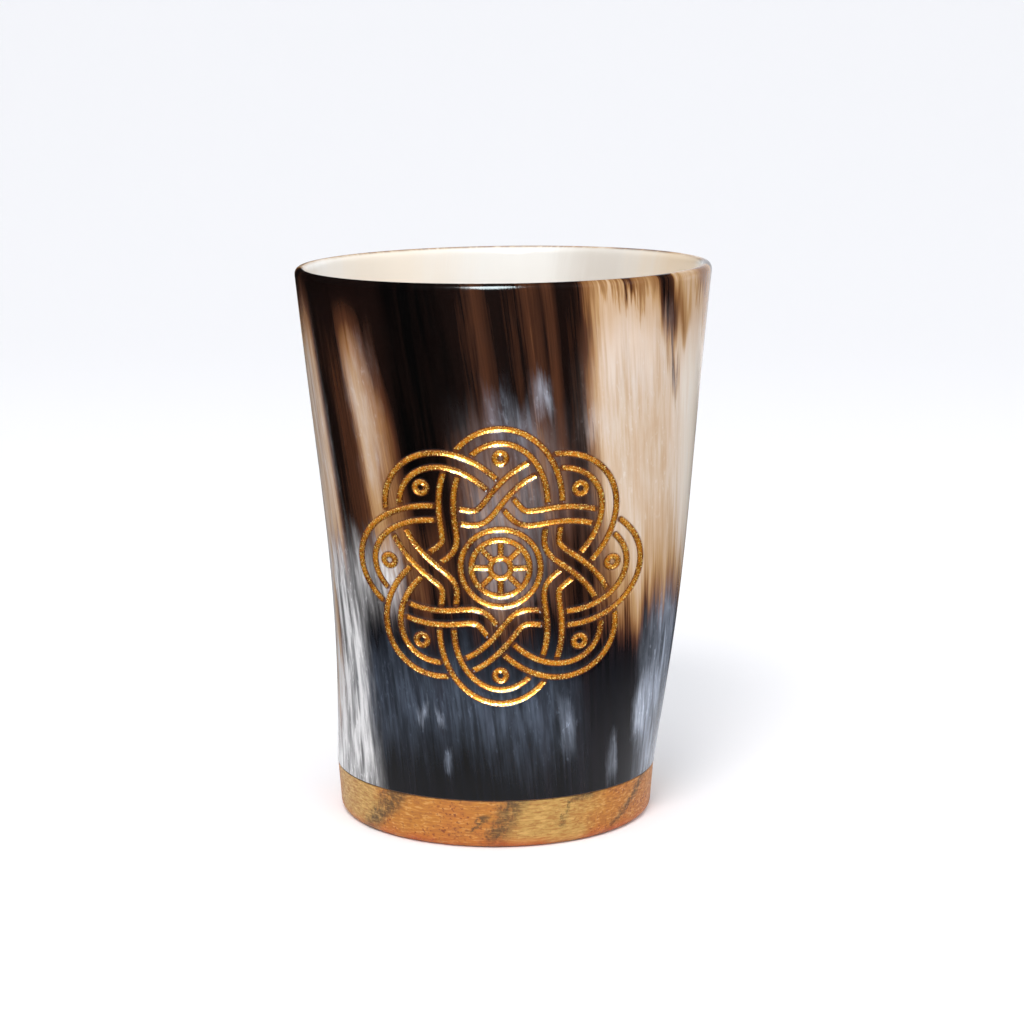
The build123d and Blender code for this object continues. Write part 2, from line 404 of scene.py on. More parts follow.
def lathe(profile, columns, centre=0.0, capped=False):
    """Profile of radius and height carried round the Z axis: closed into a ring, or capped at both ends.

    A cap is a ladder of quads, each between two neighbours of the end ring and the two across from them.
    """
    around = np.linspace(0, 2 * np.pi, columns, endpoint=False)[None, :]
    radius, height = profile[:, :1], profile[:, 1:]
    points = np.stack(
        [centre + radius * np.sin(around), -radius * np.cos(around), height + 0 * around], axis=-1
    ).reshape(-1, 3)
    quads = grid_quads(len(profile), columns, not capped, True)
    if capped:
        near = np.arange(columns // 2 - 1)
        cap = np.stack([near, near + 1, columns - 2 - near, columns - 1 - near], axis=1)
        quads = np.concatenate([quads, cap[:, ::-1], cap + (len(profile) - 1) * columns])
    return points, facing_out(points, quads)


class Nodes:
    """One node tree, with short calls for the nodes that finishes and tent share."""

    def __init__(self, tree):
        self.tree = tree

    def join(self, socket, value):
        """Feeds a socket from another node's output, or sets its constant."""
        if isinstance(value, bpy.types.NodeSocket):
            self.tree.links.new(value, socket)
        elif socket.type == "RGBA":
            socket.default_value = (*value, 1)
        else:
            socket.default_value = value

    def node(self, kind, settings=None, **sockets):
        """New shader node with settings, and with its inputs joined by name."""
        made = self.tree.nodes.new("ShaderNode" + kind)
        for name, value in (settings or {}).items():
            setattr(made, name, value)
        for name, value in sockets.items():
            self.join(made.inputs[name.replace("_", " ")], value)
        return made

    def math(self, operation, *values):
        """Arithmetic on numbers."""
        made = self.node("Math", {"operation": operation})
        for socket, value in zip(made.inputs, values):
            self.join(socket, value)
        return made.outputs[0]

    def times(self, product, *factors):
        """Product of numbers."""
        for factor in factors:
            product = self.math("MULTIPLY", product, factor)
        return product

    def shifted(self, value, noise, amount):
        """Number moved by an amount of noise, whose middle is a half."""
        return self.math("MULTIPLY_ADD", self.math("SUBTRACT", noise, 0.5), amount, value)

    def towards(self, value, level, share):
        """Number moved towards a level by a share of the way."""
        return self.math("MULTIPLY_ADD", share, self.math("SUBTRACT", level, value), value)

    def blend(self, share, low, high, kind="MIX"):
        """Colour between two colours."""
        made = self.node("Mix", {"data_type": "RGBA", "blend_type": kind})
        for place, value in ((0, share), (6, low), (7, high)):
            self.join(made.inputs[place], value)
        return made.outputs[2]

    def between(self, value, low, high, to_low=0.0, to_high=1.0):
        """Number that eases from one value to another while the input crosses a range."""
        made = self.node("MapRange", {"interpolation_type": "SMOOTHSTEP"})
        for place, given in enumerate((value, low, high, to_low, to_high)):
            self.join(made.inputs[place], given)
        return made.outputs[0]

    def mirrored(self):
        """1 for what gloss sees, and 0 for all else."""
        return self.node("LightPath").outputs["Is Glossy Ray"]


class Finish(Nodes):
    """One material, with calls for its coordinates, its noise and its shader."""

    def __init__(self, name):
        self.material = bpy.data.materials.new(name)
        self.material.use_nodes = True
        super().__init__(self.material.node_tree)
        self.shader = self.tree.nodes["Principled BSDF"]

    def stretched(self, *scales):
        """Object coordinates in metres, stretched along each axis."""
        place = self.node("TexCoord").outputs["Object"]
        return self.node("Mapping", Vector=place, Scale=scales).outputs[0]

    def axes(self):
        """Object coordinates, each by itself."""
        place = self.node("TexCoord").outputs["Object"]
        return self.node("SeparateXYZ", Vector=place).outputs

    def round_the_cup(self):
        """Angle round the cup in radians, and height in millimetres."""
        across, depth, up = self.axes()
        return self.math("ARCTAN2", across, self.times(depth, -1.0)), self.times(up, 1 / MM)

    def noise(self, vector, scale, detail=2.0, roughness=0.5):
        """Soft noise from 0 to 1."""
        sockets = {"Vector": vector, "Scale": scale, "Detail": detail, "Roughness": roughness}
        return self.node("TexNoise", **sockets).outputs["Fac"]

    def attribute(self, name):
        """Number stored on the piece's points."""
        return self.node("Attribute", {"attribute_name": name}).outputs["Fac"]

    def bump(self, height, strength, distance):
        """Joins a fine relief to the shader."""
        made = self.node("Bump", Height=height, Strength=strength, Distance=distance)
        self.join(self.shader.inputs["Normal"], made.outputs[0])

    def set(self, **sockets):
        """Sets or joins the shader's own sockets."""
        for name, value in sockets.items():
            self.join(self.shader.inputs[name.replace("_", " ")], value)


def streak_share(finish, angle, height, place, half, edge, low=None, high=None, fade=0, lean=0):
    """How far a streak covers a point: by its angle from the leaning middle line, and by its height."""
    if lean:
        above = finish.math("SUBTRACT", height, STRAND_HEIGHT)
        place = finish.math("MULTIPLY_ADD", above, lean, place)
    off = finish.math("WRAP", finish.math("SUBTRACT", angle, place), 180.0, -180.0)
    share = finish.between(finish.math("ABSOLUTE", off), half - edge, half + edge, 1.0, 0.0)
    if low is not None:
        share = finish.times(share, finish.between(height, low - fade, low + fade))
    if high is not None:
        share = finish.times(share, finish.between(height, high - fade, high + fade, 1.0, 0.0))
    return share


# The horn's fibres lean by this many degrees in each millimetre up, counted from this height in mm
STRAND_LEAN = 0.2
STRAND_HEIGHT = 60.0
# Tones of horn from black to cream: how pale, and the screen colour
HORN_TONES = (
    (0.0, (4, 3, 3)),
    (0.16, (23, 12, 9)),
    (0.34, (74, 43, 27)),
    (0.5, (132, 90, 53)),
    (0.66, (175, 138, 96)),
    (0.8, (203, 179, 158)),
    (1.0, (223, 208, 191)),
)
# Streaks of the horn's outside: how pale, strength, how far fibres break it up, then the middle strand's
# angle at the strand height, half width, edge, lower and upper ends, their fade, and any lean of its own
# in degrees a millimetre
STREAKS = (
    (0.2, 0.9, 0.3, 13, 18, 8, 60, None, 10),
    (0.25, 0.9, 0.4, -0.8, 1.3, 1.0, 66, 104, 8),
    (0.31, 0.9, 0.4, 4, 2.2, 1.6, 60, None, 8),
    (0.38, 0.9, 0.4, 17.3, 2.6, 2.0, 60, None, 8),
    (0.34, 0.9, 0.4, 23, 1.6, 1.2, 66, None, 8),
    (0.46, 0.9, 0.5, 6, 17, 7, 42, 80, 8),
    (0.36, 0.9, 0.6, -22, 10, 5, 44, 66, 8),
    (0.28, 0.9, 0.5, -50, 8, 6, 52, 104, 14),
    (0.42, 1.0, 0.4, -34.6, 8.6, 4.6, 44, 103, 8),
    (0.58, 0.95, 0.4, -34.2, 6.0, 3.6, 50, 97, 10),
    (0.61, 0.9, 0.5, -35.8, 4.2, 3.0, 62, 95, 9),
    (0.1, 0.9, 0.3, -19, 6.5, 4.5, 84, None, 7, -0.22),
    (0.8, 0.9, 0.2, -71.5, 13, 2.8, 52, 102, 12),
    (0.8, 1.0, 0.2, -92, 18, 6, 20, None, 12),
    (0.42, 1.0, 0.3, 58, 29.5, 4, 40, None, 7, 0.05),
    (0.78, 1.0, 0.2, 60.3, 28, 3, 58, None, 10, 0.05),
    (0.77, 0.85, 0.15, 60, 26, 7, 45, 90, 8),
    (0.69, 0.9, 0.3, 47, 12, 6, 66, 90, 7),
    # Partly painted light: a pale streak of the horn, raised to full paleness because the lighting falls off
    # at the right edge
    (1.0, 0.95, 0.2, 77, 10, 5, 52, 92, 8),
    (0.68, 0.7, 0.5, 55, 9, 5, 52, 68, 7),
    (0.88, 0.7, 0.3, 46, 6, 5, 91, 101, 6),
    (0.7, 0.9, 0.5, 62, 27, 6, 101, None, 5),
    (0.42, 0.9, 0.5, 76.8, 2.6, 2.0, 97, 106, 4, -0.25),
    (0.02, 1.0, 0.45, 70.8, 3.5, 2.6, 99, None, 5, -0.25),
    (0.22, 0.8, 0.3, 70.8, 1.0, 0.8, 86, 102, 6, -0.25),
    (0.44, 0.6, 0.4, 68.4, 0.7, 0.6, 90, 104, 7, -0.25),
    (0.56, 0.9, 0.4, 84, 4, 2.5, 97, None, 4),
    (0.05, 1.0, 0.3, 107, 14, 6, 30, None, 12),
    (0.84, 0.95, 0.3, 140, 14, 5, 26, None, 14, 0.05),
    (0.4, 0.9, 0.7, 170, 13, 7, 52, None, 18),
    (0.76, 0.9, 0.4, -150, 13, 6, 36, 100, 14, -0.05),
    (0.6, 0.8, 0.6, -166, 5, 4, 60, None, 14),
    (0.36, 0.9, 0.6, -126, 9, 5, 44, None, 14),
    (0.88, 1.0, 0.2, 178, 76, 14, 94, None, 9),
)
# Drips that run down from the rim: how pale, strength, then as for the streaks
DRIPS = (
    (0.48, 0.8, 45, 10.5, 4, 105.5, None, 3),
    (0.26, 0.8, 45, 2.2, 1.4, 105, None, 3),
    (0.44, 0.8, 80, 6, 3, 104, None, 3),
    (0.4, 0.7, -160, 40, 8, 106, None, 3),
    (0.3, 0.8, 140, 12, 4, 104.5, None, 3),
)
# Haze where the horn was scraped, and painted sheen and reflection on some rows: how silvery rather than
# blue, with more than 1 warmer, how streaky, strength, then as for the streaks
HAZE_AND_SHEEN = (
    (0.8, 0.0, 0.14, 10, 14, 9, 66, 82, 7),
    (0.5, 0.0, 0.62, 18.5, 2.3, 2.0, 84.5, 89, 3),
    (0.4, 0.0, 0.26, 6, 2.4, 2, 80, 89, 4),
    (0.4, 0.0, 0.24, 12, 3, 2.5, 76, 84, 4),
    (0.8, 0.0, 0.26, 4, 10, 7, 50, 70, 6),
    (1.0, 0.0, 0.4, -36.4, 4.2, 3, 70, 94, 6),
    # Painted reflection: silvery sheen of the pale surroundings on the left edge
    (1.0, 0.0, 0.5, -71, 12, 4, 60, 95, 9),
    (0.0, 0.3, 0.19, -30, 30, 16, 23, 35, 11),
    (0.0, 0.3, 0.15, 8, 12, 8, 20, 34, 11),
    (0.4, 0.0, 0.6, -25.2, 1.3, 1.0, 25.4, 27.6, 1.5),
    (0.4, 0.0, 0.55, -31.6, 1.5, 1.2, 25, 27, 1.6),
    (0.3, 0.0, 0.45, -24.6, 1.0, 0.9, 16, 18.6, 1.5),
    (0.3, 0.0, 0.62, 16.8, 2.6, 2, 19, 26, 4),
    (0.5, 0.0, 0.85, 49.4, 3.2, 2.4, 19, 28, 4),
    (0.5, 0.0, 0.34, 34.8, 1.8, 1.4, 12, 19, 3),
    # Painted reflection: silvery sheen of the pale surroundings on the lower left edge
    (1.0, 1.0, 1.35, -79, 23, 7, None, 54, 10),
    (1.0, 0.5, 0.6, -46, 10, 6, 46, 58, 6),
    (1.0, 0.3, 1.3, -37.5, 4, 3, 48, 57, 5),
    (0.4, 0.5, 0.7, 63, 12, 7, None, 42, 10),
    (1.3, 0.0, 0.5, 59, 25, 8, 56, 90, 9),
    (1.0, 0.0, 0.34, 50, 13, 8, 86, 99, 6),
    # Painted light: silvery brightening of the right edge, where the lighting falls off
    (1.2, 0.0, 0.45, 79, 11, 6, 52, 94, 9),
    (1.0, 0.0, 0.4, 34, 4, 3, 78, 84, 3),
    (0.0, 0.3, 0.24, 112, 16, 10, 16, 32, 10),
    (0.8, 1.0, 0.62, -132, 15, 9, None, 36, 13),
    (0.2, 0.5, 0.24, 172, 12, 8, 24, 42, 12),
    (0.9, 0.5, 0.5, -158, 5, 4, 40, 52, 7),
)
# Soft bands of the lacquered inside: screen colour, angle, half width, edge, strength
INSIDE_BANDS = (
    ((238, 222, 202), -140, 24, 18, 0.6),
    ((206, 198, 190), 142, 14, 13, 0.8),
    ((214, 186, 150), 112, 16, 10, 0.7),
    ((232, 212, 184), 20, 44, 20, 0.8),
    ((206, 176, 140), -72, 24, 14, 0.6),
)


def horn_finish(look):
    """Polished horn: streaks and fibres by angle and height, haze of scraped horn with painted sheen and
    reflections, painted shade in the grooves, and a lacquered inside.
    """
    finish = Finish("polished_horn")
    angle, height = finish.round_the_cup()
    above = finish.math("SUBTRACT", height, STRAND_HEIGHT)
    strand = finish.math("MULTIPLY_ADD", above, np.radians(STRAND_LEAN), angle)
    side, front = finish.math("SINE", strand), finish.math("COSINE", strand)

    def fibres(scale, rise, detail, roughness):
        """Noise drawn out along the strands: how fine, its change upwards, detail and roughness."""
        along = finish.times(height, rise)
        place = finish.node("CombineXYZ", X=side, Y=front, Z=along)
        return finish.noise(place.outputs[0], scale, detail, roughness)

    broad = fibres(5.0, 0.0016, 3.0, 0.5)
    fibre = fibres(15.0, 0.0012, 5.0, 0.6)
    fine = fibres(100.0, 0.0007, 2.0, 0.6)
    patch = fibres(15.0, 0.012, 5.0, 0.65)

    def warped(value, *amounts):
        """Number shifted by amounts of the broad noise, the fibres, the fine fibres and the patches."""
        for noise, amount in zip((broad, fibre, fine, patch), amounts):
            value = finish.shifted(value, noise, amount)
        return value

    degrees = finish.math("DEGREES", strand)
    streak_angle = warped(degrees, 6.0, 3.5, 1.2)
    streak_height = warped(height, 16.0, 18.0, 5.0)
    weave = finish.between(warped(fibre, 0.3, 0.0, 0.25), 0.3, 0.7)
    pale = finish.between(fibre, 0.42, 0.75, 0.0, 0.07)
    for level, strength, broken, *form in STREAKS:
        share = streak_share(finish, streak_angle, streak_height, *form)
        whole = finish.math("MULTIPLY_ADD", weave, broken * strength, (1 - broken) * strength)
        pale = finish.towards(pale, level, finish.times(share, whole))
    drip_height = finish.shifted(height, fibres(48.0, 0.002, 3.0, 0.6), 24.0)
    for level, strength, *form in DRIPS:
        share = streak_share(finish, streak_angle, drip_height, *form)
        pale = finish.towards(pale, level, finish.times(share, strength))
    tones = finish.node("ValToRGB", Fac=warped(pale, 0.06, 0.13, 0.13))
    steps = tones.color_ramp.elements
    for index, (level, screen) in enumerate(HORN_TONES):
        step = steps[index] if index < 2 else steps.new(level)
        step.position = level
        step.color = (*linear(*screen), 1)
    outside = tones.outputs[0]

    thread = finish.between(finish.math("ADD", fibre, fine), 0.7, 1.3)
    # Painted reflection: the horn is screened towards a bluish tinge along its fibres, fullest below 30 mm
    # and gone by 56 mm
    low = finish.times(finish.between(streak_height, 30.0, 56.0, 0.24, 0.0), thread)
    outside = finish.blend(low, outside, look.painted_blue_reflection, "SCREEN")
    smoke = finish.between(fibres(6.0, 0.008, 4.0, 0.6), 0.32, 0.62, 0.4, 1.0)
    stroke = finish.between(fibres(36.0, 0.003, 4.0, 0.6), 0.32, 0.68, 0.4, 1.0)
    scuff = finish.between(fibres(42.0, 0.012, 3.0, 0.6), 0.58, 0.74, 0.0, 0.45)
    veil = finish.math("ADD", finish.times(smoke, stroke), scuff)
    bold = finish.between(fibres(15.0, 0.004, 2.5, 0.55), 0.36, 0.6, -0.6, 0.3)
    hazy_angle = warped(degrees, 8.0, 4.0, 1.0, 4.0)
    hazy_height = warped(height, 12.0, 13.0, 4.0, 5.0)
    blue, silver = np.array(look.blue_haze_and_reflection), np.array(look.silver_haze_and_sheen)
    # Haze of scraped horn; some rows paint a reflection on the left edge and light on the right edge, and the
    # blue is a painted reflection
    for silvery, streaky, strength, *form in HAZE_AND_SHEEN:
        share = finish.times(streak_share(finish, hazy_angle, hazy_height, *form), veil)
        if streaky:
            share = finish.times(share, finish.math("MULTIPLY_ADD", bold, streaky, 1.0))
        outside = finish.blend(finish.times(share, strength), outside, blue + (silver - blue) * silvery)

    inside = look.lining
    band_angle = warped(finish.math("DEGREES", angle), 30.0, 10.0, 3.0)
    for screen, place, half, edge, strength in INSIDE_BANDS:
        share = streak_share(finish, band_angle, height, place, half, edge)
        inside = finish.blend(finish.times(share, strength), inside, linear(*screen))
    # Painted shade: the horn darkens with the groove's depth round each gilt line, with some browning of the
    # cut
    cut = finish.between(finish.attribute("cut"), 0.06, 0.36, 0.0, 0.85)
    outside = finish.blend(cut, outside, look.groove_shade_and_burn)
    lined = finish.between(finish.attribute("lined"), 0.55, 0.85)
    finish.set(Base_Color=finish.blend(lined, outside, inside))
    finish.set(Roughness=finish.between(patch, 0.3, 0.75, 0.12, 0.22), IOR=1.3)
    finish.bump(finish.math("MULTIPLY_ADD", fibre, 0.5, fine), 0.05, 0.0003)
    return finish.material


def gilt_finish(look):
    """Gold paint in the grooves: pale grains painted as glints, flecks of dark, painted shade towards the
    lines' edges, and darker clouds.
    """
    finish = Finish("grainy_gold_paint")
    place = finish.stretched(1, 1, 1)
    grain = finish.noise(place, 2300.0, 2.0, 0.6)
    spark = finish.noise(place, 3600.0, 1.0, 0.5)
    cloud = finish.noise(place, 320.0, 3.0, 0.6)
    # Painted shade: the gold darkens towards each line's edges, where the groove walls rise, and in random
    # clouds
    edge = finish.math("POWER", finish.math("ABSOLUTE", finish.attribute("across")), 1.8)
    shade_and_clouds = finish.math("MULTIPLY_ADD", edge, 0.9, finish.between(cloud, 0.46, 0.7, 0.0, 0.5))
    tint = finish.blend(finish.between(grain, 0.36, 0.62), look.gold_deep, look.gold)
    tint = finish.blend(shade_and_clouds, tint, look.gold_edge_shade_and_clouds)
    # Painted glints: fine grains where the spark noise runs high are painted pale, as sparkle
    tint = finish.blend(finish.between(spark, 0.57, 0.67), tint, look.gold_glint)
    flecks = finish.times(finish.between(spark, 0.42, 0.3), finish.between(cloud, 0.4, 0.6))
    finish.set(Base_Color=finish.blend(flecks, tint, look.gold_shade))
    finish.set(Metallic=0.6, Roughness=finish.between(grain, 0.3, 0.7, 0.34, 0.2))
    finish.bump(finish.math("ADD", grain, spark), 0.4, 0.0001)
    return finish.material


# Spalted patches of the wood: angle at the foot's middle height, lean in degrees a millimetre, half width,
# edge, lower and upper ends, strength
FOOT_MIDDLE, SPALT_FADE = 4.7, 0.6
SPALTS = (
    (-45, 1.6, 4.5, 3.0, None, None, 0.85),
    (-6.5, 1.2, 1.3, 0.8, 3.2, 6.6, 0.9),
    (3.5, 0.8, 4.5, 3.0, None, None, 0.8),
    (25, 0.8, 1.2, 0.8, 3.5, None, 0.7),
    (33, 0.0, 3.0, 1.5, 8.4, None, 0.8),
    (55, 2.4, 3.0, 2.0, None, None, 0.8),
    (98, 1.5, 6.0, 4.0, None, None, 0.8),
    (150, -1.2, 3.0, 2.0, None, 7.0, 0.7),
    (-112, 2.0, 6.0, 4.0, None, None, 0.8),
    (-168, 0.6, 2.0, 1.5, 2.0, None, 0.7),
)
# Paler bands of the wood: angle, half width, edge
PALE_BANDS = ((-62, 16, 5), (20, 15, 7), (122, 20, 8), (-140, 18, 8))


def wood_finish(look):
    """Oiled wood with its grain along X: paler bands, dashes of grain, dark pores and spalted patches."""
    finish = Finish("oiled_wood")
    angle, height = finish.round_the_cup()
    cloud = finish.noise(finish.stretched(0.6, 1, 1), 130.0, 3.0, 0.6)
    dashes = finish.noise(finish.stretched(0.16, 0.3, 1), 2600.0, 2.0, 0.6)
    pores = finish.noise(finish.stretched(0.8, 0.8, 1), 2100.0, 1.0, 0.5)
    bits = finish.noise(finish.stretched(1, 1, 0.7), 1100.0, 4.0, 0.7)
    shaky = finish.shifted(finish.math("DEGREES", angle), bits, 10.0)
    shaky = finish.shifted(shaky, cloud, 16.0)

    tint = finish.blend(finish.between(cloud, 0.35, 0.65), look.wood, look.wood_warm)
    paleness = 0.0
    for place, half, edge in PALE_BANDS:
        band = streak_share(finish, shaky, height, place, half, edge)
        paleness = finish.math("MAXIMUM", paleness, band)
        tint = finish.blend(band, tint, look.wood_pale)
    tint = finish.blend(finish.between(dashes, 0.46, 0.66, 0.0, 0.6), tint, look.grain_dark)
    tint = finish.blend(finish.between(dashes, 0.46, 0.34, 0.0, 0.35), tint, look.grain_pale)
    porous = finish.times(finish.between(pores, 0.56, 0.68), finish.between(cloud, 0.42, 0.55, 0.35, 0.9))
    holes = finish.times(porous, finish.math("MULTIPLY_ADD", paleness, -0.75, 1.0))
    tint = finish.blend(holes, tint, look.wood_pore)
    worn = finish.between(bits, 0.36, 0.56, 0.35, 1.0)
    dashed = finish.between(dashes, 0.3, 0.55, 0.6, 1.0)
    for place, lean, half, edge, low, high, strength in SPALTS:
        middle = place + lean * (STRAND_HEIGHT - FOOT_MIDDLE)
        share = streak_share(finish, shaky, height, middle, half, edge, low, high, SPALT_FADE, lean)
        tint = finish.blend(finish.times(share, worn, dashed, strength), tint, look.wood_spalt)
    rusty = finish.times(finish.between(height, 2.6, 0.4), finish.between(cloud, 0.4, 0.6, 0.3, 0.8))
    tint = finish.blend(rusty, tint, look.wood_rust)
    finish.set(Base_Color=tint, Roughness=finish.between(dashes, 0.3, 0.7, 0.4, 0.55), IOR=1.38)
    finish.bump(finish.math("SUBTRACT", finish.times(dashes, 0.4), holes), 0.3, 0.0002)
    return finish.material


def resin_finish(look):
    """Amber resin: glossy, with faint clouds."""
    finish = Finish("amber_resin")
    cloud = finish.noise(finish.stretched(1, 1, 1), 500.0, 3.0, 0.6)
    finish.set(Base_Color=finish.blend(cloud, look.resin_deep, look.resin))
    finish.set(Roughness=finish.between(cloud, 0.3, 0.7, 0.18, 0.32), IOR=1.5)
    return finish.material


# Horn's mesh: columns and rows before, across and after the knot, steps round the lip and rows inside
HORN_COLUMNS = (42, 224, 42)
HORN_ROWS = (14, 184, 16)
LIP_STEPS, LINING_ROWS = 15, 26
# The fine columns reach this far past the knot's sides, taken at this share of the height
KNOT_MARGIN, KNOT_SHARE = 1.04, 0.3
# The lip starts at this share of the height, and is blunter than a half round
LIP_SHARE, LIP_POWER = 0.982, 0.75


class CUP_OT_horn(Operator):
    """Build the horn sleeve: outside with its engraving, rounded lip, inside, ledge and socket"""

    bl_idname = "horn_cup.horn"
    bl_label = "Horn Sleeve"

    def execute(self, context):
        horn, knot = context.scene.horn_shape, context.scene.horn_knot
        reach = knot.radius + knot.swing + knot.ribbon
        face = np.arcsin(reach / horn_radius(horn, KNOT_SHARE)) * KNOT_MARGIN
        angle = spaced((-np.pi, -face, face, np.pi), HORN_COLUMNS)[None, :]
        tall = horn.rim_height - horn.bottom
        ends = [(height - horn.bottom) / tall for height in (knot.height - reach, knot.height + reach)]
        outer = np.append(spaced((0, *ends, LIP_SHARE), HORN_ROWS), LIP_SHARE)[:, None]
        cut = engraving(knot, horn_point(horn, angle, outer, 0.0), reach)

        bend = np.linspace(0, np.pi, LIP_STEPS)[1:-1][:, None]
        lip = LIP_SHARE + (1 - LIP_SHARE) * np.sin(bend) ** LIP_POWER
        lip_inset = horn_wall(horn, LIP_SHARE) * (1 - np.cos(bend)) / 2
        inner = np.linspace(LIP_SHARE, (horn.ledge - horn.bottom) / tall, LINING_ROWS)[:, None]
        sides = ((outer, cut), (lip, lip_inset), (inner, horn_wall(horn, inner)))
        across, depth = horn.socket_radius * np.sin(angle), -horn.socket_radius * np.cos(angle)
        socket = [np.stack([across, depth, up + 0 * angle], axis=-1) for up in (horn.ledge, horn.bottom)]
        rows = np.concatenate([*(horn_point(horn, angle, share, inset) for share, inset in sides), *socket])

        lined = np.ones(len(rows))
        lined[: len(outer)] = 0
        lined[len(outer) : len(outer) + len(lip)] = np.linspace(0, 1, len(lip))
        depths = np.zeros(rows.shape[:2])
        depths[: len(outer)] = cut / knot.depth
        values = {"lined": np.repeat(lined, rows.shape[1]), "cut": depths.ravel()}
        points = rows.reshape(-1, 3)
        quads = facing_out(points, grid_quads(*rows.shape[:2], True, True))
        piece = add_piece("horn_body", points, quads, horn_finish(context.scene.horn_finish), values)
        settle(piece, "horn", "horn_sleeve")
        return {"FINISHED"}


def gilt_shells(horn, knot, lines, across):
    """Thin closed shells over flat grids, some closed into rings.

    The top is a V with a rounded floor, as its depth falls with hypot(across, round). The underside follows.
    """
    points, quads, values, start = [], [], [], 0
    for grid, closed in lines:
        angle, share = front_place(horn, grid[..., 0] + knot.shift, grid[..., 1] + knot.height)
        sunk = knot.gilt_edge + knot.gilt_vee * (VEE_EDGE - np.hypot(across, VEE_ROUND)) + 0 * angle
        top = horn_point(horn, angle, share, sunk)
        under = horn_point(horn, angle, share, sunk + knot.gilt_film)
        steps, width = grid.shape[:2]
        shell = grid_quads(steps, 2 * width, closed, True)
        if not closed:
            for row, order in ((0, 1), (steps - 1, -1)):
                first = row * 2 * width + np.arange(width - 1)
                last = row * 2 * width + 2 * width - 1 - np.arange(width - 1)
                cap = np.stack([first, last, last - 1, first + 1], axis=1)
                shell = np.concatenate([shell, cap[:, ::order]])
        flat_points = np.concatenate([top, under[:, ::-1]], axis=1).reshape(-1, 3)
        quads.append(facing_out(flat_points, shell) + start)
        points.append(flat_points)
        values.append(np.tile(np.concatenate([across, across[::-1]]), steps))
        start += len(flat_points)
    return np.concatenate(points), np.concatenate(quads), {"across": np.concatenate(values)}


class CUP_OT_gilt(Operator):
    """Fill the engraved lines with gold paint: the ribbon, the hub's wheel and the rings in the lobes"""

    bl_idname = "horn_cup.gilt"
    bl_label = "Gilt Knot"

    def execute(self, context):
        horn, knot = context.scene.horn_shape, context.scene.horn_knot
        finish = gilt_finish(context.scene.horn_finish)
        across = np.linspace(-1, 1, GILT_COLUMNS)
        ribbon, rings, bars, eyes = knot_lines(knot, GILT_STEPS, across)
        wheel = [(grid, True) for grid in rings] + [(grid, False) for grid in bars]
        for name, node, lines in (
            ("gilt_ribbon", "gilt_knot", [(grid, False) for grid in ribbon]),
            ("gilt_wheel", "gilt_hub", wheel),
            ("gilt_eyes", "gilt_lobe_rings", [(grid, True) for grid in eyes]),
        ):
            points, quads, values = gilt_shells(horn, knot, lines, across)
            settle(add_piece(name, points, quads, finish, values), "gilt", node)
        return {"FINISHED"}


# Points of the foot's edge, its side and the bead's hollow, and columns of the base and the resin
FOOT_STEPS, SIDE_STEPS, BEAD_STEPS = 9, 12, 10
BASE_COLUMNS, RESIN_COLUMNS = 192, 160
# The shoulder's broken edge, how far the glue stands proud, and how far the bead keys into the wall
EDGE_BREAK, GLUE_PROUD, BEAD_KEY = 0.0002, 0.0001, 0.0002


class CUP_OT_base(Operator):
    """Turn the wooden base: a rounded foot, a shoulder, and a spigot whose top is the cup's floor"""

    bl_idname = "horn_cup.base"
    bl_label = "Wooden Base"

    def execute(self, context):
        base = context.scene.horn_base
        bend = np.linspace(-np.pi / 2, 0, FOOT_STEPS)
        edge_radius = base.foot_radius - base.foot_round * (1 - np.cos(bend))
        foot = np.stack([edge_radius, base.foot_round * (1 + np.sin(bend))], axis=1)
        side_top = (base.shoulder_radius, base.foot_height - EDGE_BREAK)
        side = np.linspace(foot[-1], side_top, SIDE_STEPS)[1:]
        rest = np.array(
            [
                (base.shoulder_radius - EDGE_BREAK, base.foot_height),
                (base.spigot_radius, base.foot_height),
                (base.spigot_radius, base.floor - base.spigot_chamfer),
                (base.spigot_radius - base.spigot_chamfer, base.floor),
            ]
        )
        points, quads = lathe(np.concatenate([foot, side, rest]), BASE_COLUMNS, capped=True)
        piece = add_piece("wooden_base", points, quads, wood_finish(context.scene.horn_finish))
        settle(piece, "wood", "base_plug")
        return {"FINISHED"}


